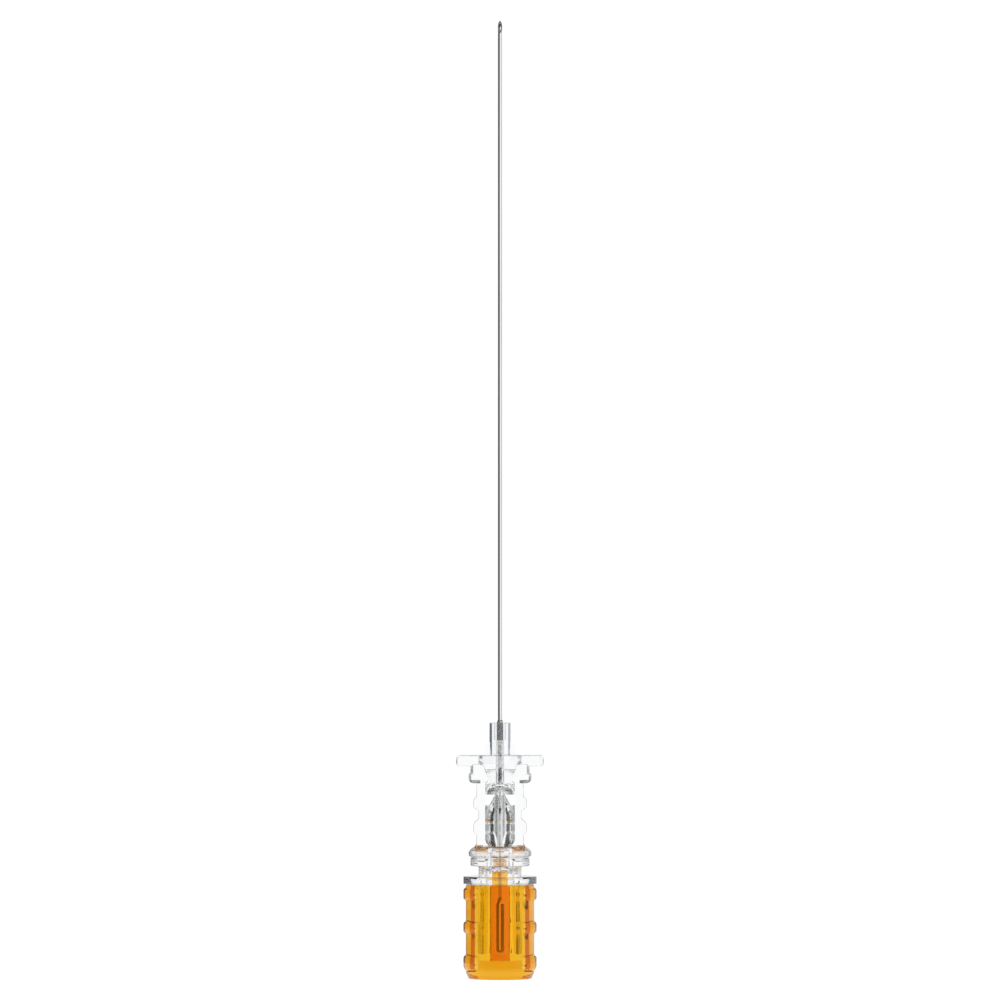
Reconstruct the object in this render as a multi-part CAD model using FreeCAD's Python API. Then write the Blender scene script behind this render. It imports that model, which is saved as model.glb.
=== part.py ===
import FreeCAD, Part
import math
import os

# Spinal needle, 25 gauge, with its stylet in place, standing on the cap's flat end.
# Millimetres, +Z up along the needle to its tip. The bevel faces -Y, the wings lie along X.

# Steel tube
cannula_od = 0.53
cannula_id = 0.30
exposed_length = 88.0
bevel_length = 3.03 * cannula_od
lancet_length = 0.85 * cannula_od
lancet_turn = 30.0

# Stylet wire, with its folded end moulded into the cap
wire_play = 0.02
wire_r = cannula_id / 2 - wire_play
fold_half = 0.21
fold_low_z = 3.30
fold_leg_top_z = 9.40
fold_jog_low_z = 9.30
fold_jog_top_z = 10.10

# Clear hub, levels from the foot up
mouth_z = 3.10
plate_low_z = 11.87
plate_high_z = 12.81
neck_high_z = 14.10
socket_end_z = 13.65
throat_z = 14.20
low_ring_high_z = 15.10
low_collar_low_z = 15.23
low_collar_full_z = 15.85
low_collar_shoulder_z = 16.30
low_collar_high_z = 16.62
bowl_z = 17.05
chamber_low_z = 17.60
chamber_high_z = 21.74
window_high_z = 23.08
funnel_apex_z = 23.92
dome_high_z = 24.60
collar_low_z = 24.47
collar_high_z = 25.80
small_collar_high_z = 26.64
disc_low_z = 26.93
wing_high_z = 28.01
gusset_high_z = 29.66
well_low_z = 29.85
nose_z = 32.06
tip_z = nose_z + exposed_length

# Side pads, levels of the two grip bumps
pad_foot_high_z = 17.10
low_bump_z = 17.98
low_bump_full_z = 18.48
low_bump_end_z = 19.36
waist_low_z = 20.20
waist_high_z = 20.90
high_bump_full_z = 21.62
high_bump_end_z = 22.37
high_bump_z = 22.87

# Clear hub, radii and widths
nose_r = 1.33
wing_half = 5.51
wing_depth = 2.60
disc_r = 3.00
bell_top_r = 2.84
bell_mid_r = 2.12
bell_low_r = 2.02
dome_r = 1.74
pillar_r = 0.66
collar_r = 3.95
small_collar_r = 3.72
pad_depth = 3.00
pad_half = 2.95
pad_inner = 1.86
pad_waist = 2.69
pad_bump = 3.36
pad_foot = 3.22
pad_edge = 0.12
cove_r = 3.10
shoulder_ring_r = 3.64
gusset_w = 0.66
gusset_depth = 0.80
chamber_r = 1.93
bowl_r = 1.76
bowl_foot_r = 1.46
bore_r = 1.25
funnel_half_angle = 20.0
cone_half_angle = 29.7
cone_apex_z = 24.12
neck_r = 2.70
plate_r = 4.60
tube_r = 2.55
mouth_r = 2.15
socket_taper = 0.06
socket_end_r = mouth_r - socket_taper / 2 * (socket_end_z - mouth_z)
prism_half = 0.72
prism_proud = 0.30
prism_neck_half = 0.48
prism_neck_z = 23.00
prism_shoulder_high_z = 21.90
prism_shoulder_low_z = 18.50
prism_low_z = 16.56
glue_gap = 0.06
cannula_hole_r = cannula_od / 2 + glue_gap
well_r = 0.48
bead_r = 0.38
bead_high = 0.34
glue_below_well = 5.30

# Rounded corners of the hub
nose_round = 0.08
disc_round = 0.15
plate_round = 0.05
ring_round = 0.10
collar_round = 0.30
lug_low_round = 0.50
lug_high_round = 0.30
wing_edge_round = 0.16
wing_plan_round = 0.55
wing_low_round = 0.40

# Orange cap
cap_r = 4.30
cap_rib_r = 4.60
cap_rib_shift = 0.80
cap_rib_half_angle = 50.0
cap_gap = 0.09
cap_high_z = plate_low_z - cap_gap
cap_cavity_r = 3.18
cap_cavity_low_z = 1.24
pedestal_r = 2.95
pedestal_high_z = 2.32
cap_foot_r = 3.97
cap_foot_rib_low_z = 0.10
cap_foot_rib_full_z = 1.55
cap_foot_rib_high_z = 3.02
cap_mid_rib_low_z = 5.60
cap_mid_rib_high_z = 7.26
cap_high_rib_low_z = 9.74
cap_high_rib_high_z = 11.48
cap_rib_round = 0.20
cap_edge_round = 0.12
nub_round = 0.30
plug_r = 1.28
plug_high_z = cap_high_z
nub_r = 0.97
nub_high_z = 13.67
grip_gap = 0.06
grip_width = 0.50
lead_in_r = 0.25
lead_in_deep = 1.20

Z = FreeCAD.Vector(0, 0, 1)
O = FreeCAD.Vector(0, 0, 0)


def at(x, y, z):
    return FreeCAD.Vector(x, y, z)


def cyl(r, z0, z1):
    return Part.makeCylinder(r, z1 - z0, at(0, 0, z0))


def box(x0, x1, y0, y1, z0, z1):
    return Part.makeBox(x1 - x0, y1 - y0, z1 - z0, at(x0, y0, z0))


def turned(points):
    ring = Part.makePolygon([at(r, 0, z) for r, z in points] + [at(points[0][0], 0, points[0][1])])
    return Part.Face(ring).revolve(O, Z, 360)


def join(shapes):
    out = shapes[0].fuse(shapes[1:]) if len(shapes) > 1 else shapes[0]
    return out.removeSplitter()


def corner(before, point, after, radius, steps):
    """Points that round one corner of a profile."""
    tip = at(point[0], point[1], 0)
    to_before = (at(before[0], before[1], 0) - tip).normalize()
    to_after = (at(after[0], after[1], 0) - tip).normalize()
    half = to_before.getAngle(to_after) / 2
    middle = tip + (to_before + to_after).normalize() * (radius / math.sin(half))
    first = tip + to_before * (radius / math.tan(half)) - middle
    last = tip + to_after * (radius / math.tan(half)) - middle
    sweep = first.getAngle(last)
    out = []
    for k in range(steps + 1):
        a = sweep * k / steps
        arm = (first * math.sin(sweep - a) + last * math.sin(a)) * (1 / math.sin(sweep))
        out.append((middle.x + arm.x, middle.y + arm.y))
    return out


def rounded(points):
    """A closed profile from (r, z) points, or (r, z, radius, steps) where a corner is rounded."""
    out = []
    for k, p in enumerate(points):
        if len(p) == 2:
            out.append(p)
            continue
        out += corner(points[k - 1][:2], p[:2], points[(k + 1) % len(points)][:2], p[2], p[3])
    return out


def prism_x(points_yz, half_width):
    face = Part.Face(Part.makePolygon([at(-half_width, y, z) for y, z in points_yz + points_yz[:1]]))
    return face.extrude(at(2 * half_width, 0, 0))


def prism_z(points_xy, z0, z1):
    face = Part.Face(Part.makePolygon([at(x, y, z0) for x, y in points_xy + points_xy[:1]]))
    return face.extrude(at(0, 0, z1 - z0))


def wedge(points_xz, half_depth):
    front = Part.makePolygon([at(x, -half_depth, z) for x, z in points_xz + points_xz[:1]])
    return Part.Face(front).extrude(at(0, 2 * half_depth, 0))


# Grind planes shared by the tube and the wire, so the two ends are flush
bevel_slope = cannula_od / bevel_length
bevel_angle = math.atan(bevel_slope)
lancet_reach = 1 - lancet_length * bevel_slope / (cannula_od / 2)
lancet_half_turn = math.tan(math.acos(lancet_reach) / 2)
turn = math.radians(lancet_turn)
lancet_angle = math.atan(bevel_slope * (math.cos(turn) + math.sin(turn) / lancet_half_turn))


def grind(side, angle, spin):
    normal = at(
        side * math.sin(spin) * math.cos(angle),
        -math.cos(spin) * math.cos(angle),
        math.sin(angle),
    )
    block = Part.makeBox(12, 12, 6, at(-6, -6, 0))
    block.Placement = FreeCAD.Placement(
        at(0, cannula_od / 2, tip_z), FreeCAD.Rotation(Z, normal)
    )
    return block


grinds = [grind(1, bevel_angle, 0), grind(1, lancet_angle, turn), grind(-1, lancet_angle, turn)]


def ground(shape):
    for tool in grinds:
        shape = shape.cut(tool)
    return shape


def make_cannula():
    tube = cyl(cannula_od / 2, funnel_apex_z, tip_z + 0.5)
    tube = tube.cut(cyl(cannula_id / 2, funnel_apex_z - 1, tip_z + 1))
    return ground(tube)


def make_wire():
    low = fold_low_z + wire_r
    cut = fold_half * math.tan(math.radians(30))
    stops = [
        (0, fold_jog_top_z + 0.3),
        (0, fold_jog_top_z),
        (-fold_half, fold_jog_low_z),
        (-fold_half, low + fold_half - cut / 2),
        (-cut, low),
        (cut, low),
        (fold_half, low + fold_half - cut / 2),
        (fold_half, fold_leg_top_z),
    ]
    path = Part.makePolygon([at(x, 0, z) for x, z in stops])
    section = Part.Wire(Part.makeCircle(wire_r, at(0, 0, stops[0][1]), Z))
    folded = path.makePipeShell([section], True, False, 1)
    straight = cyl(wire_r, stops[0][1], tip_z + 0.5)
    return ground(join([straight, folded]))


def make_hub():
    # Nose, disc, hollow bell, pillar, cone and chamber, as one turned form
    cone_slope = math.tan(math.radians(cone_half_angle))
    shoulder_r = (cone_apex_z - chamber_high_z) * cone_slope
    pillar_foot_z = cone_apex_z - pillar_r / cone_slope
    bell_high = disc_low_z - collar_low_z
    dome_rise = dome_high_z - window_high_z
    dome_in = dome_r - pillar_r
    upper = rounded(
        [
            (0, nose_z),
            (nose_r, nose_z, nose_round, 1),
            (nose_r, wing_high_z),
            (disc_r, wing_high_z, disc_round, 1),
            (disc_r, disc_low_z),
            (bell_top_r, disc_low_z),
            (bell_mid_r + 0.62 * (bell_top_r - bell_mid_r), collar_low_z + 0.72 * bell_high),
            (bell_mid_r + 0.26 * (bell_top_r - bell_mid_r), collar_low_z + 0.40 * bell_high),
            (bell_mid_r, collar_low_z),
            (bell_low_r, window_high_z),
            (dome_r, window_high_z),
            (pillar_r + 0.88 * dome_in, window_high_z + 0.48 * dome_rise),
            (pillar_r + 0.50 * dome_in, window_high_z + 0.87 * dome_rise),
            (pillar_r, dome_high_z),
            (pillar_r, pillar_foot_z),
            (shoulder_r, chamber_high_z),
            (chamber_r, chamber_high_z),
            (chamber_r, chamber_low_z),
            (bowl_r, bowl_z),
            (bowl_foot_r, low_collar_high_z),
            (bowl_foot_r, low_collar_high_z - 0.3),
            (0, low_collar_high_z - 0.3),
        ]
    )

    # Lower collar, ring, neck, lock plate and connector tube
    groove_r = min(small_collar_r - ring_round, collar_r - collar_round)
    lower = rounded(
        [
            (0, mouth_z),
            (tube_r, mouth_z),
            (tube_r, plate_low_z),
            (plate_r, plate_low_z, plate_round, 1),
            (plate_r, plate_high_z, plate_round, 1),
            (neck_r, plate_high_z),
            (neck_r, neck_high_z),
            (small_collar_r, neck_high_z, ring_round, 1),
            (small_collar_r, low_ring_high_z, ring_round, 1),
            (groove_r, low_ring_high_z),
            (groove_r, low_collar_low_z),
            (collar_r, low_collar_low_z, collar_round, 2),
            (collar_r, low_collar_full_z),
            (shoulder_ring_r, low_collar_shoulder_z),
            (cove_r, low_collar_high_z),
            (0, low_collar_high_z),
        ]
    )

    # Wings and the two thin gussets beside the nose
    half = wing_depth / 2
    low = small_collar_high_z
    high = wing_high_z
    side_view = [
        (-half, low, wing_edge_round, 2),
        (half, low, wing_edge_round, 2),
        (half, high, wing_edge_round, 2),
        (-half, high, wing_edge_round, 2),
    ]
    top_view = [
        (-wing_half, -half, wing_plan_round, 3),
        (wing_half, -half, wing_plan_round, 3),
        (wing_half, half, wing_plan_round, 3),
        (-wing_half, half, wing_plan_round, 3),
    ]
    front_view = [
        (-wing_half, low, wing_low_round, 3),
        (wing_half, low, wing_low_round, 3),
        (wing_half, high, wing_plan_round, 3),
        (-wing_half, high, wing_plan_round, 3),
    ]
    wing = prism_x(rounded(side_view), wing_half)
    wing = wing.common(prism_z(rounded(top_view), low - 1, high + 1))
    wing = wing.common(wedge(rounded(front_view), half + 1))
    gussets = []
    for side in (-1, 1):
        root = side * (nose_r - 0.2)
        arch = [(root, gusset_high_z)]
        for k in range(6):
            a = math.radians(90 * (1 - k / 5))
            rise = (gusset_high_z - wing_high_z) * math.sin(a)
            arch.append((side * (nose_r - 0.02 + gusset_w * math.cos(a)), wing_high_z + rise))
        arch += [(side * (nose_r + gusset_w), wing_high_z - 0.1), (root, wing_high_z - 0.1)]
        gussets.append(wedge(arch, gusset_depth / 2))

    # Side collars, flat in front and behind
    lug_half = pad_depth / 2 + pad_edge

    def lug(r, z0, z1, low_round, high_round):
        ring = turned(rounded([(0, z0), (r, z0, low_round, 2), (r, z1, high_round, 2), (0, z1)]))
        block = [
            (-lug_half, z0, low_round, 2),
            (lug_half, z0, low_round, 2),
            (lug_half, z1, high_round, 2),
            (-lug_half, z1, high_round, 2),
        ]
        return ring.common(prism_x(rounded(block), r + 1))

    fill_r = dome_r + 0.14
    fill_z = collar_low_z + 0.4
    bell_core = turned([(0, window_high_z), (fill_r, window_high_z), (fill_r, fill_z), (0, disc_low_z)])
    collars = [
        lug(collar_r, collar_low_z, collar_high_z, lug_low_round, lug_high_round).cut(bell_core),
        lug(small_collar_r, collar_high_z - 0.35, small_collar_high_z + 0.2, 0.05, 0.05).cut(bell_core),
    ]

    # Finger pads down both sides, with two grip bumps each
    pad_low_z = low_collar_high_z - 0.2
    pad_high_z = collar_low_z + 0.3

    def pad(side):
        slopes = [
            (pad_foot, pad_low_z, pad_half, pad_foot_high_z),
            (pad_half, low_bump_z, pad_bump, low_bump_full_z),
            (pad_bump, low_bump_end_z, pad_waist, waist_low_z),
            (pad_waist, waist_high_z, pad_bump, high_bump_full_z),
            (pad_bump, high_bump_end_z, pad_half, high_bump_z),
        ]
        outline = [(side * pad_inner, pad_high_z), (side * pad_inner, pad_low_z)]
        for x0, z0, x1, z1 in slopes:
            for k in range(5):
                u = k / 4
                ease = (1 - math.cos(math.pi * u)) / 2
                outline.append((side * (x0 + (x1 - x0) * ease), z0 + (z1 - z0) * u))
        outline.append((side * pad_half, pad_high_z))
        block = wedge(outline, pad_depth / 2)
        chosen = [
            e
            for e in block.Edges
            if e.BoundBox.YLength < 1e-3
            and e.BoundBox.ZLength > 0.05
            and abs(e.BoundBox.Center.x) > pad_inner + 0.2
        ]
        return block.makeChamfer(pad_edge, chosen)

    pads = [pad(-1), pad(1)]

    # Spindle prism in front and behind
    prism_y = math.sqrt(chamber_r**2 - prism_half**2)
    outline = wedge(
        [
            (0, funnel_apex_z),
            (prism_neck_half, prism_neck_z),
            (prism_half, prism_shoulder_high_z),
            (prism_half, prism_shoulder_low_z),
            (0, prism_low_z),
            (-prism_half, prism_shoulder_low_z),
            (-prism_half, prism_shoulder_high_z),
            (-prism_neck_half, prism_neck_z),
        ],
        chamber_r + 1,
    )
    ridge = chamber_r + prism_proud
    plan_points = [
        (-prism_half, -prism_y),
        (0, -ridge),
        (prism_half, -prism_y),
        (prism_half, prism_y),
        (0, ridge),
        (-prism_half, prism_y),
    ]
    prism = outline.common(prism_z(plan_points, prism_low_z - 1, funnel_apex_z + 1))
    prism = prism.cut(cyl(bore_r + 0.2, prism_low_z - 2, chamber_high_z - 0.01))
    prism = prism.cut(cyl(pillar_r - 0.1, chamber_high_z - 0.02, dome_high_z))

    body = join([turned(upper), turned(lower), wing] + gussets + collars + pads + [prism])

    # Way through for fluid, needle and stylet
    funnel_slope = math.tan(math.radians(funnel_half_angle))
    inside = turned(
        [
            (0, mouth_z - 1),
            (mouth_r + socket_taper / 2, mouth_z - 1),
            (socket_end_r, socket_end_z),
            (bore_r, throat_z),
            (bore_r, funnel_apex_z - bore_r / funnel_slope),
            (cannula_hole_r, funnel_apex_z - cannula_hole_r / funnel_slope),
            (cannula_hole_r, well_low_z),
            (well_r, well_low_z),
            (well_r, nose_z + 1),
            (0, nose_z + 1),
        ]
    )
    return body.cut(inside)


def make_cannula_adhesive():
    tube_wall = cannula_od / 2
    swell = bead_r - tube_wall
    return turned(
        [
            (tube_wall, well_low_z - glue_below_well),
            (cannula_hole_r, well_low_z - glue_below_well),
            (cannula_hole_r, well_low_z),
            (well_r, well_low_z),
            (well_r, nose_z),
            (bead_r, nose_z),
            (tube_wall + 0.80 * swell, nose_z + 0.65 * bead_high),
            (tube_wall, nose_z + bead_high),
        ]
    )


def make_cap(wire):
    # Shell with a chamfered foot, and the raised floor inside it
    foot_slope = (cap_rib_r - cap_foot_r) / (cap_foot_rib_full_z - cap_foot_rib_low_z)
    cap_foot_high_z = cap_foot_rib_low_z + (cap_r - cap_foot_r) / foot_slope
    shell = turned(
        rounded(
            [
                (0, 0),
                (cap_foot_r, 0, cap_edge_round, 1),
                (cap_r, cap_foot_high_z),
                (cap_r, cap_high_z, cap_edge_round, 1),
                (cap_cavity_r, cap_high_z),
                (cap_cavity_r, cap_cavity_low_z),
                (pedestal_r, cap_cavity_low_z),
                (pedestal_r, pedestal_high_z),
                (0, pedestal_high_z),
            ]
        )
    )

    # Grip ribs on the two sides, turned about shifted axes so that they fade out towards the front
    root = 0.10
    sunk_r = cap_r - cap_rib_shift - 0.35
    side_r = cap_rib_r - cap_rib_shift
    wall_r = cap_r - cap_rib_shift - root
    foot_r = cap_foot_r - cap_rib_shift + 0.04
    proud = cap_rib_r - cap_r
    ribs = [
        (foot_r, cap_foot_rib_low_z, cap_foot_rib_full_z, cap_foot_rib_high_z),
        (wall_r, cap_mid_rib_low_z - root, cap_mid_rib_low_z + proud, cap_mid_rib_high_z),
        (wall_r, cap_high_rib_low_z - root, cap_high_rib_low_z + proud, cap_high_rib_high_z),
    ]
    a = math.radians(cap_rib_half_angle)
    reach = 2 * cap_rib_r
    lugs = []
    for start_r, low_z, full_z, high_z in ribs:
        profile = [
            (sunk_r, low_z),
            (start_r, low_z),
            (side_r, full_z, cap_rib_round, 1),
            (side_r, high_z - proud, cap_rib_round, 1),
            (wall_r, high_z + root),
            (sunk_r, high_z + root),
        ]
        for side in (-1, 1):
            ring = turned(rounded(profile))
            ring.translate(at(side * cap_rib_shift, 0, 0))
            x = side * reach * math.cos(a)
            y = reach * math.sin(a)
            lugs.append(ring.common(prism_z([(0, 0), (x, -y), (x, y)], -1, cap_high_z + 1)))

    # Plug with its nub, and the four grip bars on the shell's inner wall
    plug = turned(
        rounded(
            [
                (0, pedestal_high_z - 0.2),
                (plug_r, pedestal_high_z - 0.2),
                (plug_r, plug_high_z),
                (nub_r, plug_high_z),
                (nub_r, nub_high_z, nub_round, 2),
                (0, nub_high_z),
            ]
        )
    )
    bars = []
    side_y = grip_width / 2
    back_r = cap_cavity_r + 0.3
    for k in range(4):
        grip = box(tube_r + grip_gap, back_r, -side_y, side_y, mouth_z + 0.1, cap_high_z - 0.5)
        grip.rotate(O, Z, 45 + 90 * k)
        bars.append(grip)
    body = join([shell] + lugs + [plug] + bars)

    # The wire's place, with a lead-in at the top of the nub
    body = body.cut(cyl(lead_in_r, nub_high_z - lead_in_deep, nub_high_z + 1))
    return body.cut(wire)


cannula = make_cannula()
needle_hub = make_hub()
cannula_adhesive = make_cannula_adhesive()
stylet_wire = make_wire()
stylet_cap = make_cap(stylet_wire)

os.makedirs("parts", exist_ok=True)
cannula.exportStep("parts/cannula.step")
needle_hub.exportStep("parts/needle_hub.step")
cannula_adhesive.exportStep("parts/cannula_adhesive.step")
stylet_wire.exportStep("parts/stylet_wire.step")
stylet_cap.exportStep("parts/stylet_cap.step")

for name, shape in (
    ("cannula", cannula),
    ("needle_hub", needle_hub),
    ("cannula_adhesive", cannula_adhesive),
    ("stylet_wire", stylet_wire),
    ("stylet_cap", stylet_cap),
):
    b = shape.BoundBox
    size = [round(v, 3) for v in (b.XLength, b.YLength, b.ZLength, b.ZMin)]
    print(name, len(shape.Solids), "valid", shape.isValid(), "volume", round(shape.Volume, 3), size)
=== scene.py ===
import math

import bpy
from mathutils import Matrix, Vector

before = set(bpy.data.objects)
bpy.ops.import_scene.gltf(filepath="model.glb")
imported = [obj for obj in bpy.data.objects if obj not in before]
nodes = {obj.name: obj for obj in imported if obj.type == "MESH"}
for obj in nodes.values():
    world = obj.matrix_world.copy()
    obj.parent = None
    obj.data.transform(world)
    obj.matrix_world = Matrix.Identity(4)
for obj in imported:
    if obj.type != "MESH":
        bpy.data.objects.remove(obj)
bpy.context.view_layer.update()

MM = 0.001


WHITE = (1.0, 1.0, 1.0)

# Noise scales, in waves per metre
PLASTIC_GRAIN = 900
PLASTIC_POLISH = 4000
DRAWN_STREAKS = 2500
MOTTLE_PATCHES = 1100

# Share of light that a surface passes, from facing the view to edge on: painted shade by the angle of
# view, standing in for the dark refractions at the edges of clear plastic
HUB_EDGE = [(0.30, 1.0), (0.42, 0.80), (0.60, 0.50), (0.85, 0.38)]
BORE_SIDE = [(0.20, 1.0), (0.24, 0.10)]
BORE_EDGE = [(0.13, 1.0), (0.17, 0.006)]
CHAMBER_EDGE = [(0.22, 1.0), (0.28, 0.34), (0.90, 0.45)]
DOME_EDGE = [(0.04, 1.0), (0.12, 0.50), (0.30, 0.25)]

# Zones of the hub, in mm: z above the cap's flat end, r from the axis, x across, side the size of x
CONNECTOR = {"r": (1.7, 2.7), "z": (3.0, 11.8)}
BORE = {"r": (0.75, 1.36), "z": (16.7, 21.68)}
CHAMBER = {"r": (1.60, 1.96)}
# Heights in mm of the painted shade in the bore and the chamber
DARK_STRETCHES = ((16.7, 18.10), (18.45, 19.38), (19.72, 21.68))
DOME = {"side": (0.66, 1.80), "r": (0.6, 1.80), "z": (23.05, 24.62)}
SPINDLE = {"r": (1.94, 2.4), "x": (-0.74, 0.74), "z": (16.66, 23.0)}
COLLAR_SLOPE = {"side": (1.5, 3.12), "r": (2.6, 4.1), "z": (15.90, 16.72)}
COLLAR_UNDERSIDES = {"side": (2.45, 4.0), "z": (24.50, 24.93)}
PLATE_RIM = {"r": (4.5, 4.7), "z": (11.8, 12.9)}
BORE_ABOVE_NUB = {"x": (-0.62, 0.62), "r": (1.0, 1.40), "z": (14.45, 14.95)}

# Zones of the cap
CAP_WALL = {"r": (4.0, 4.8), "z": (1.24, 11.80)}
PLUG_WALL = {"r": (1.2, 1.32), "z": (2.3, 11.7)}
FLOOR_EDGE = {"r": (2.9, 3.25), "z": (1.2, 2.36)}
CAVITY = {"r": (2.4, 3.25), "z": (2.36, 11.7)}
NUB = {"z": (11.9, 14.0)}

# Zones of the tube and of the wire
GLUE_WELL = {"z": (29.86, 32.0)}
GLUED_HOLE = {"z": (23.8, 29.86)}
FOLDED_END = {"z": (3.0, 10.2)}
UPPER_FACETS = {"z": (119.2, 120.2)}


# Node helpers
def tree_of(name):
    mat = bpy.data.materials.new(name)
    mat.use_nodes = True
    tree = mat.node_tree
    tree.nodes.clear()
    return mat, tree


def add(tree, kind, **values):
    n = tree.nodes.new(kind)
    for key, value in values.items():
        setattr(n, key, value)
    return n


def feed(tree, socket, source):
    """Link another node's output, or set a number or a colour."""
    if isinstance(source, bpy.types.NodeSocket):
        tree.links.new(source, socket)
    elif isinstance(source, tuple):
        socket.default_value = (*source, 1)
    else:
        socket.default_value = source


def math_node(tree, op, a, b=None):
    n = add(tree, "ShaderNodeMath", operation=op)
    feed(tree, n.inputs[0], a)
    if b is not None:
        feed(tree, n.inputs[1], b)
    return n.outputs[0]


def object_noise(tree, scale, detail, stretch=(1, 1, 1)):
    where = add(tree, "ShaderNodeTexCoord")
    mapped = add(tree, "ShaderNodeMapping")
    mapped.inputs["Scale"].default_value = stretch
    tree.links.new(where.outputs["Object"], mapped.inputs["Vector"])
    noise = add(tree, "ShaderNodeTexNoise")
    noise.inputs["Scale"].default_value = scale
    noise.inputs["Detail"].default_value = detail
    tree.links.new(mapped.outputs["Vector"], noise.inputs["Vector"])
    return noise.outputs["Fac"]


def ramp(tree, source, stops):
    """A colour that follows source through the stops (position, colour)."""
    r = add(tree, "ShaderNodeValToRGB")
    while len(r.color_ramp.elements) < len(stops):
        r.color_ramp.elements.new(0.5)
    for e, (pos, col) in zip(r.color_ramp.elements, stops):
        e.position = pos
        e.color = (*col, 1)
    tree.links.new(source, r.inputs["Fac"])
    return r.outputs["Color"]


def spread(tree, source, low, high, to_low=0.0, to_high=1.0):
    """Source's range from low to high, stretched over to_low to to_high."""
    r = add(tree, "ShaderNodeMapRange")
    r.inputs["From Min"].default_value = low
    r.inputs["From Max"].default_value = high
    r.inputs["To Min"].default_value = to_low
    r.inputs["To Max"].default_value = to_high
    tree.links.new(source, r.inputs["Value"])
    return r.outputs["Result"]


def mixed(tree, factor, first, second, blend="MIX"):
    both = add(tree, "ShaderNodeMix", data_type="RGBA", blend_type=blend)
    feed(tree, both.inputs["Factor"], factor)
    feed(tree, both.inputs[6], first)
    feed(tree, both.inputs[7], second)
    return both.outputs[2]


def choose(tree, test, no, yes):
    """The shader no where test is 0, and yes where it is 1."""
    pick = add(tree, "ShaderNodeMixShader")
    feed(tree, pick.inputs["Fac"], test)
    feed(tree, pick.inputs[1], no)
    feed(tree, pick.inputs[2], yes)
    return pick.outputs["Shader"]


def emission(tree, colour, strength=1.0):
    glow = add(tree, "ShaderNodeEmission")
    feed(tree, glow.inputs["Color"], colour)
    feed(tree, glow.inputs["Strength"], strength)
    return glow.outputs["Emission"]


def background(tree, colour, strength):
    back = add(tree, "ShaderNodeBackground")
    feed(tree, back.inputs["Color"], colour)
    feed(tree, back.inputs["Strength"], strength)
    return back.outputs["Background"]


def place_of(tree):
    """A point on the piece: height z, distance r from the axis, offsets x and y, and the size of x."""
    where = add(tree, "ShaderNodeTexCoord")
    split = add(tree, "ShaderNodeSeparateXYZ")
    tree.links.new(where.outputs["Object"], split.inputs["Vector"])
    x = split.outputs["X"]
    y = split.outputs["Y"]
    xx = math_node(tree, "POWER", x, 2.0)
    yy = math_node(tree, "POWER", y, 2.0)
    r = math_node(tree, "SQRT", math_node(tree, "ADD", xx, yy))
    return {"z": split.outputs["Z"], "r": r, "x": x, "y": y, "side": math_node(tree, "ABSOLUTE", x)}


def within(tree, place, zone):
    """1 where the place lies in the zone, else 0."""
    hit = None
    for key, (low, high) in zone.items():
        above = math_node(tree, "GREATER_THAN", place[key], low * MM)
        below = math_node(tree, "LESS_THAN", place[key], high * MM)
        both = math_node(tree, "MULTIPLY", above, below)
        hit = both if hit is None else math_node(tree, "MULTIPLY", hit, both)
    return hit


def tinted(tree, colour, tint, hit=1.0):
    return mixed(tree, hit, colour, tint, "MULTIPLY")


def facing_of(tree, normal=None):
    """0 where a surface faces the view, 1 where it is edge on."""
    facing = add(tree, "ShaderNodeLayerWeight")
    facing.inputs["Blend"].default_value = 0.5
    if normal is not None:
        tree.links.new(normal, facing.inputs["Normal"])
    return facing.outputs["Facing"]


# Painted shade: a grey that darkens a colour by the angle of view
def painted_edge_shade(tree, stops):
    return ramp(tree, facing_of(tree), [(f, (v, v, v)) for f, v in stops])


# Clear and orange plastic
def hub_tints(tree, colour):
    place = place_of(tree)
    # Painted shade towards the hub's edges by the angle of view, partly the real loss of light at
    # grazing angles
    colour = tinted(tree, colour, painted_edge_shade(tree, HUB_EDGE))
    # Painted light: the connector is brightened a little above its own colour
    colour = tinted(tree, colour, (1.04, 1.04, 1.04), within(tree, place, CONNECTOR))
    # Painted shade: the bore and the chamber darken towards their edges by the angle of view, in three
    # stretches between two clear rings
    colour = tinted(tree, colour, painted_edge_shade(tree, BORE_SIDE), within(tree, place, BORE))
    bore = painted_edge_shade(tree, BORE_EDGE)
    chamber = painted_edge_shade(tree, CHAMBER_EDGE)
    for stretch in DARK_STRETCHES:
        colour = tinted(tree, colour, bore, within(tree, place, {**BORE, "z": stretch}))
        colour = tinted(tree, colour, chamber, within(tree, place, {**CHAMBER, "z": stretch}))
    # Painted shade: the dome darkens towards its edges by the angle of view
    colour = tinted(tree, colour, painted_edge_shade(tree, DOME_EDGE), within(tree, place, DOME))
    # Painted shade: the spindle's facets are greyed, darker on the side of negative x than of positive x
    across = spread(tree, place["x"], -0.4 * MM, 0.4 * MM)
    grey = ramp(tree, across, [(0.35, (0.36, 0.36, 0.35)), (0.65, (0.56, 0.56, 0.55))])
    colour = tinted(tree, colour, grey, within(tree, place, SPINDLE))
    # Painted reflection: the cap's orange, which the clear plastic bends into view, is painted into the
    # collar's slope and into the bore above the nub
    colour = tinted(tree, colour, (0.80, 0.33, 0.11), within(tree, place, COLLAR_SLOPE))
    # Painted shade on the collar's undersides
    colour = tinted(tree, colour, (0.16, 0.16, 0.16), within(tree, place, COLLAR_UNDERSIDES))
    # Painted shade: the lock plate's rim goes dark blue-black where it is seen edge on
    rim = ramp(tree, facing_of(tree), [(0.37, WHITE), (0.41, (0.06, 0.075, 0.10))])
    colour = tinted(tree, colour, rim, within(tree, place, PLATE_RIM))
    # Painted reflection of the cap's orange in the bore above the nub
    return tinted(tree, colour, (0.70, 0.36, 0.14), within(tree, place, BORE_ABOVE_NUB))


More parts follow.
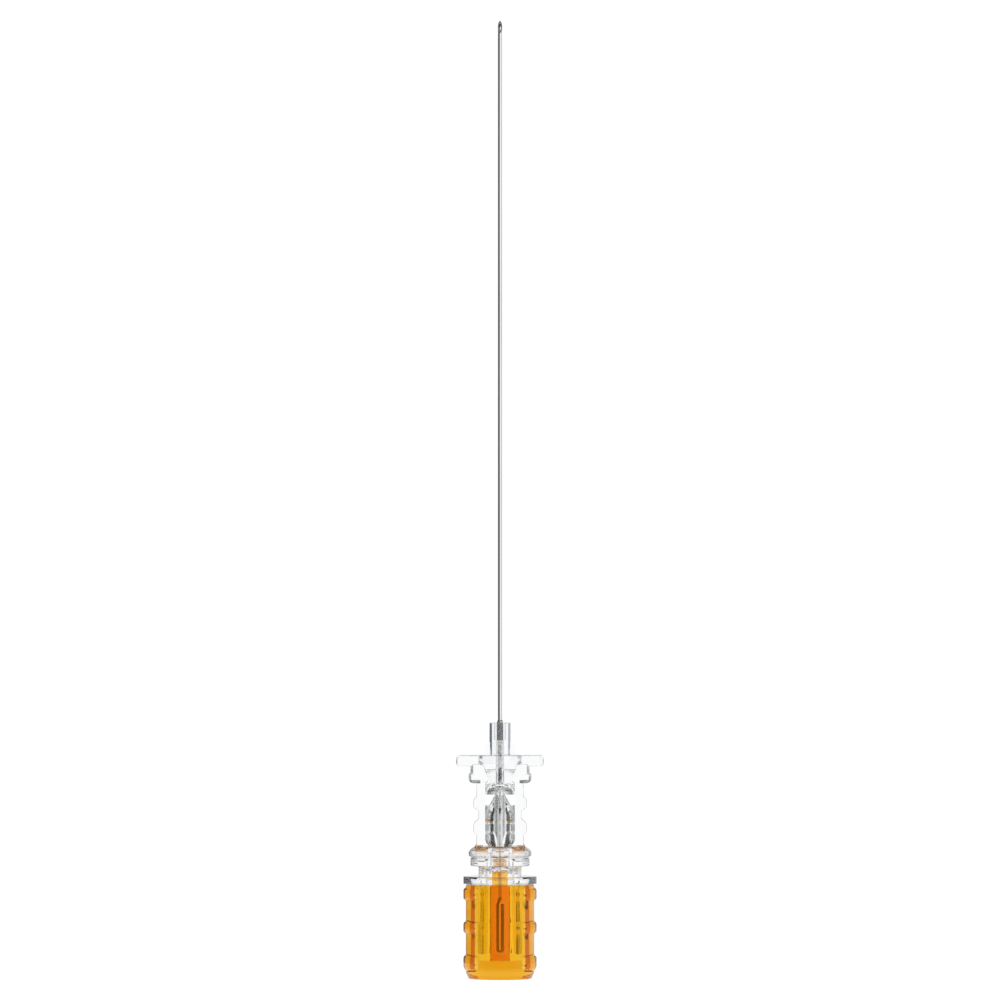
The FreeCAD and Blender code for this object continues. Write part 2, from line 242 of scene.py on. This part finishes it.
def cap_tints(tree, colour):
    place = place_of(tree)
    # Painted shade, deeper where the view runs along the wall, on a plain cylinder so that it goes on
    # through the ribs
    away = add(tree, "ShaderNodeCombineXYZ")
    tree.links.new(place["x"], away.inputs["X"])
    tree.links.new(place["y"], away.inputs["Y"])
    outward = add(tree, "ShaderNodeVectorMath", operation="NORMALIZE")
    tree.links.new(away.outputs["Vector"], outward.inputs[0])
    deep = (0.49, 0.06, 0.015)
    wall = (0.82, 0.46, 0.03)
    facing = facing_of(tree, outward.outputs["Vector"])
    stripe = ramp(tree, facing, [(0.30, WHITE), (0.33, deep), (0.46, deep), (0.50, wall)])
    colour = tinted(tree, colour, stripe, within(tree, place, CAP_WALL))
    for tint, zone in (
        ((0.90, 0.56, 1.6), PLUG_WALL),
        ((1.0, 1.25, 3.0), FLOOR_EDGE),
        ((1.0, 1.10, 1.3), CAVITY),
        ((1.0, 0.85, 0.05), NUB),
    ):
        colour = tinted(tree, colour, tint, within(tree, place, zone))
    return colour


def inner_sheen(tree, outer, radius, high):
    """The sheen's tint, faint on surfaces closed in by others: within radius and up to high, in mm."""
    below_any = -1.0
    inner = within(tree, place_of(tree), {"r": (below_any, radius), "z": (0.05, high)})
    return tinted(tree, outer, (0.1, 0.1, 0.1), inner)


def clear_plastic(name, ior, tint, rough, absorb, density, tints=None, sheen=None):
    mat, tree = tree_of(name)
    out = add(tree, "ShaderNodeOutputMaterial")
    bsdf = add(tree, "ShaderNodeBsdfPrincipled")
    bsdf.inputs["Transmission Weight"].default_value = 1.0
    bsdf.inputs["IOR"].default_value = ior
    if sheen:
        tree.links.new(inner_sheen(tree, *sheen), bsdf.inputs["Specular Tint"])
    colour = ramp(tree, object_noise(tree, PLASTIC_GRAIN, 3), [(0.35, tint[0]), (0.65, tint[1])])
    if tints:
        colour = tints(tree, colour)
    tree.links.new(colour, bsdf.inputs["Base Color"])
    polish = object_noise(tree, PLASTIC_POLISH, 2)
    tree.links.new(spread(tree, polish, 0.0, 1.0, *rough), bsdf.inputs["Roughness"])
    tree.links.new(bsdf.outputs["BSDF"], out.inputs["Surface"])
    volume = add(tree, "ShaderNodeVolumeAbsorption")
    volume.inputs["Color"].default_value = (*absorb, 1)
    volume.inputs["Density"].default_value = density
    tree.links.new(volume.outputs["Volume"], out.inputs["Volume"])
    return mat


# Steel
def glued_tube(tree, colour, rough):
    """Painted shade, even in the glue well; below it, where the glue holds the tube, painted light and
    dark patches on the strip that faces the view.
    """
    place = place_of(tree)
    blotch = object_noise(tree, MOTTLE_PATCHES, 2, (1, 1, 0.6))
    patchy = ramp(tree, blotch, [(0.47, (0.05, 0.05, 0.05)), (0.58, (0.75, 0.75, 0.75))])
    # Painted shade: the steel in the glue well is darkened evenly
    colour = tinted(tree, colour, (0.13, 0.13, 0.14), within(tree, place, GLUE_WELL))
    centre = math_node(tree, "LESS_THAN", facing_of(tree), 0.17)
    glued = within(tree, place, GLUED_HOLE)
    # Painted light: the glued stretch is brightened above the steel's own colour
    colour = tinted(tree, colour, (1.35, 1.35, 1.35), glued)
    return tinted(tree, colour, patchy, math_node(tree, "MULTIPLY", centre, glued)), rough


def moulded_wire(tree, colour, rough):
    """Roughened and brightened with painted light where the cap is moulded around the folded end, and
    painted shade on the point's upper facets.
    """
    place = place_of(tree)
    moulded = within(tree, place, FOLDED_END)
    # Painted light: the wire inside the cap is brightened above the steel's own colour
    colour = tinted(tree, colour, (1.35, 1.35, 1.35), moulded)
    # Painted shade on the point's upper facets
    colour = tinted(tree, colour, (0.16, 0.17, 0.165), within(tree, place, UPPER_FACETS))
    return colour, math_node(tree, "ADD", rough, math_node(tree, "MULTIPLY", moulded, 0.45))


def drawn_steel(name, zones):
    mat, tree = tree_of(name)
    out = add(tree, "ShaderNodeOutputMaterial")
    bsdf = add(tree, "ShaderNodeBsdfPrincipled")
    bsdf.inputs["Metallic"].default_value = 1.0
    streaks = object_noise(tree, DRAWN_STREAKS, 4, (1, 1, 0.02))
    shade = ramp(tree, streaks, [(0.3, (0.60, 0.61, 0.605)), (0.7, (0.72, 0.73, 0.725))])
    colour, rough = zones(tree, shade, spread(tree, streaks, 0.0, 1.0, 0.10, 0.20))
    tree.links.new(colour, bsdf.inputs["Base Color"])
    tree.links.new(rough, bsdf.inputs["Roughness"])
    tree.links.new(bsdf.outputs["BSDF"], out.inputs["Surface"])
    return mat


looks = {
    "cannula": drawn_steel("tube_steel", glued_tube),
    "stylet_wire": drawn_steel("wire_steel", moulded_wire),
    "needle_hub": clear_plastic(
        "clear_plastic",
        ior=1.57,
        tint=((0.96, 0.965, 0.97), (0.98, 0.985, 0.99)),
        rough=(0.0, 0.02),
        absorb=(0.93, 0.965, 1.0),
        density=14.0,
        tints=hub_tints,
        sheen=(WHITE, 3.0, 11.8),
    ),
    "cannula_adhesive": clear_plastic(
        "cured_glue",
        ior=1.57,
        tint=((0.95, 0.96, 0.96), (0.98, 0.98, 0.98)),
        rough=(0.0, 0.03),
        absorb=(0.9, 0.93, 0.93),
        density=10.0,
    ),
    "stylet_cap": clear_plastic(
        "orange_plastic",
        ior=1.52,
        tint=((0.98, 0.71, 0.15), (0.99, 0.73, 0.17)),
        rough=(0.01, 0.04),
        absorb=(0.94, 0.744, 0.15),
        density=258.0,
        tints=cap_tints,
        sheen=((0.90, 0.50, 0.08), 3.4, 14.0),
    ),
}
for name, mat in looks.items():
    mesh = nodes[name].data
    mesh.materials.clear()
    mesh.materials.append(mat)
    for p in mesh.polygons:
        p.use_smooth = True

# Small chamfers shade as the rounded corners of a moulding
JOIN_REACH = 0.002 * MM
FLAT_ANGLE = math.radians(0.4)
CRISP_ANGLE = math.radians(50)
for name in ("needle_hub", "stylet_cap", "cannula_adhesive", "stylet_wire"):
    weld = nodes[name].modifiers.new("joined_faces", "WELD")
    weld.merge_threshold = JOIN_REACH
    flats = nodes[name].modifiers.new("whole_flats", "DECIMATE")
    flats.decimate_type = "DISSOLVE"
    flats.angle_limit = FLAT_ANGLE
    split = nodes[name].modifiers.new("crisp_edges", "EDGE_SPLIT")
    split.split_angle = CRISP_ANGLE
    shade = nodes[name].modifiers.new("soft_corners", "WEIGHTED_NORMAL")
    shade.weight = 100

# Glue wets what it touches and the cap is moulded onto the wire, so these two skins reach a hair out
WET_REACH = 0.006 * MM
for name in ("cannula_adhesive", "stylet_wire"):
    wet = nodes[name].modifiers.new("wetted_skin", "DISPLACE")
    wet.strength = WET_REACH
    wet.mid_level = 0.0


# Light tent: its colours by the angle in degrees from straight behind the object, left and right
def high_wall(colour):
    """A wall's narrow part above the floor."""
    return [(38, WHITE), (44, colour), (53, colour), (59, WHITE)]


PALE = (0.95, 0.95, 0.95)
TENT_LEFT = [(38, WHITE), (44, (0.46, 0.50, 0.58)), (78, (0.40, 0.43, 0.50)), (86, PALE)]
TENT_RIGHT = [
    (38, WHITE),
    (44, (0.10, 0.12, 0.16)),
    (58, (0.05, 0.07, 0.11)),
    (78, (0.10, 0.12, 0.16)),
    (86, PALE),
]
HIGH_LEFT = high_wall((0.50, 0.54, 0.60))
HIGH_RIGHT = high_wall((0.16, 0.18, 0.22))
METAL_LEFT = [
    (6, (0.90, 0.90, 0.90)),
    (22, (0.26, 0.27, 0.27)),
    (60, (0.13, 0.14, 0.14)),
    (142, (0.14, 0.15, 0.15)),
    (160, (0.35, 0.35, 0.35)),
    (180, (0.90, 0.90, 0.90)),
]
METAL_RIGHT = [
    (60, (0.80, 0.80, 0.80)),
    (104, (0.80, 0.80, 0.80)),
    (118, (1.35, 1.35, 1.35)),
    (165, (1.35, 1.35, 1.35)),
    (180, (0.90, 0.90, 0.90)),
]


SEAM = 0.12


def tent(tree, x, y, left, right):
    """The tent's colour in the direction x, y, with left and right blended over a narrow seam."""
    angle = math_node(tree, "DIVIDE", math_node(tree, "ARCCOSINE", y), math.pi)
    walls = [ramp(tree, angle, [(d / 180.0, c) for d, c in stops]) for stops in (left, right)]
    return mixed(tree, spread(tree, x, -SEAM, SEAM), *walls)


# Floor: white with the shadow on it, and far out the same tent for what the plastic bends
FLOOR_RADIUS = 0.9
FLOOR_DROP = 0.00002
FLOOR_GREY = 0.86
FLOOR_GLOW = 1.20
GLOW_SHARE = 0.72
# Distances in metres over which the tent fades in on the floor
PLASTIC_TENT = (0.28, 0.33)
STEEL_TENT = (0.03, 0.08)
bpy.ops.mesh.primitive_circle_add(
    vertices=96, radius=FLOOR_RADIUS, fill_type="NGON", location=(0, 0, -FLOOR_DROP)
)
floor = bpy.context.object
floor.name = "studio_floor"
mat, tree = tree_of("studio_floor")
out = add(tree, "ShaderNodeOutputMaterial")
path = add(tree, "ShaderNodeLightPath")
diffuse = add(tree, "ShaderNodeBsdfDiffuse")
diffuse.inputs["Color"].default_value = (FLOOR_GREY, FLOOR_GREY, FLOOR_GREY, 1)
lit = diffuse.outputs["BSDF"]
raised = choose(tree, GLOW_SHARE, lit, emission(tree, WHITE, FLOOR_GLOW))
where = add(tree, "ShaderNodeTexCoord")
flat = add(tree, "ShaderNodeVectorMath", operation="NORMALIZE")
tree.links.new(where.outputs["Object"], flat.inputs[0])
split = add(tree, "ShaderNodeSeparateXYZ")
tree.links.new(flat.outputs["Vector"], split.inputs["Vector"])
reach = add(tree, "ShaderNodeVectorMath", operation="LENGTH")
tree.links.new(where.outputs["Object"], reach.inputs[0])
far = spread(tree, reach.outputs["Value"], *PLASTIC_TENT)
slant = tent(tree, split.outputs["X"], split.outputs["Y"], TENT_LEFT, TENT_RIGHT)
bent = emission(tree, mixed(tree, far, WHITE, slant))
through = choose(tree, far, choose(tree, GLOW_SHARE, lit, bent), bent)
off = spread(tree, reach.outputs["Value"], *STEEL_TENT)
mirrored = tent(tree, split.outputs["X"], split.outputs["Y"], METAL_LEFT, METAL_RIGHT)
metal_sees = choose(tree, off, raised, emission(tree, mirrored))
shown = choose(tree, path.outputs["Is Glossy Ray"], lit, metal_sees)
shown = choose(tree, path.outputs["Is Transmission Ray"], shown, through)
shown = choose(tree, path.outputs["Is Camera Ray"], shown, raised)
tree.links.new(shown, out.inputs["Surface"])
floor.data.materials.append(mat)

# World: the same tent above the floor, white for the camera
ROOF_SHARE = 0.30
CAMERA_SKY = 1.02
LIGHTING_SKY = 0.55
# Ranges of the upward direction: the darker walls' top, and where the roof begins
WALL_TOP = (0.045, 0.09)
PLASTIC_ROOF = (0.42, 0.60)
STEEL_ROOF = (0.25, 0.50)
world = bpy.data.worlds.new("studio")
bpy.context.scene.world = world
world.use_nodes = True
tree = world.node_tree
tree.nodes.clear()
out = add(tree, "ShaderNodeOutputWorld")
path = add(tree, "ShaderNodeLightPath")
where = add(tree, "ShaderNodeTexCoord")
split = add(tree, "ShaderNodeSeparateXYZ")
tree.links.new(where.outputs["Generated"], split.inputs["Vector"])
across, along, up = (split.outputs[key] for key in "XYZ")
low_walls = tent(tree, across, along, HIGH_LEFT, HIGH_RIGHT)
plastic_walls = mixed(tree, spread(tree, up, *WALL_TOP), low_walls, WHITE)
plastic_sees = background(tree, plastic_walls, spread(tree, up, *PLASTIC_ROOF, 1.0, ROOF_SHARE))
metal_walls = tent(tree, across, along, METAL_LEFT, METAL_RIGHT)
metal_sees = background(tree, metal_walls, spread(tree, up, *STEEL_ROOF, 1.0, ROOF_SHARE))
lighting = background(tree, WHITE, LIGHTING_SKY)
shown = choose(tree, path.outputs["Is Glossy Ray"], lighting, metal_sees)
shown = choose(tree, path.outputs["Is Transmission Ray"], shown, plastic_sees)
shown = choose(tree, path.outputs["Is Camera Ray"], shown, background(tree, WHITE, CAMERA_SKY))
tree.links.new(shown, out.inputs["Surface"])


def soft_light(name, place, aim, size, power):
    data = bpy.data.lights.new(name, "AREA")
    data.shape = "RECTANGLE"
    data.size, data.size_y = size
    data.energy = power
    lamp = bpy.data.objects.new(name, data)
    bpy.context.scene.collection.objects.link(lamp)
    lamp.location = place
    lamp.rotation_mode = "QUATERNION"
    lamp.rotation_quaternion = (Vector(aim) - Vector(place)).to_track_quat("-Z", "Y")


soft_light("key", place=(0.55, -0.75, 0.75), aim=(0, 0, 0.03), size=(0.5, 0.6), power=2.6)
soft_light("overhead", place=(0.0, 0.10, 1.0), aim=(0, 0, 0), size=(1.1, 1.1), power=3.0)

# Camera, level with the middle of the picture
CAMERA_DISTANCE = 1.27
PICTURE_PX = 1000
PX_PER_MM = 7.98
BASE_PX = 978.5
data = bpy.data.cameras.new("camera")
camera = bpy.data.objects.new("camera", data)
bpy.context.scene.collection.objects.link(camera)
bpy.context.scene.camera = camera
data.sensor_width = 36.0
data.lens = CAMERA_DISTANCE * data.sensor_width / (PICTURE_PX / PX_PER_MM * MM)
data.clip_start = 0.01
data.clip_end = 20
camera.location = (0, -CAMERA_DISTANCE, (BASE_PX - PICTURE_PX / 2) / PX_PER_MM * MM)
camera.rotation_euler = (math.radians(90), 0, 0)

scene = bpy.context.scene
scene.view_settings.view_transform = "Standard"
CLEAR_BOUNCES = 24
STEEL_BOUNCES = 12
scene.cycles.max_bounces = CLEAR_BOUNCES
scene.cycles.transmission_bounces = CLEAR_BOUNCES
scene.cycles.transparent_max_bounces = CLEAR_BOUNCES
scene.cycles.glossy_bounces = STEEL_BOUNCES
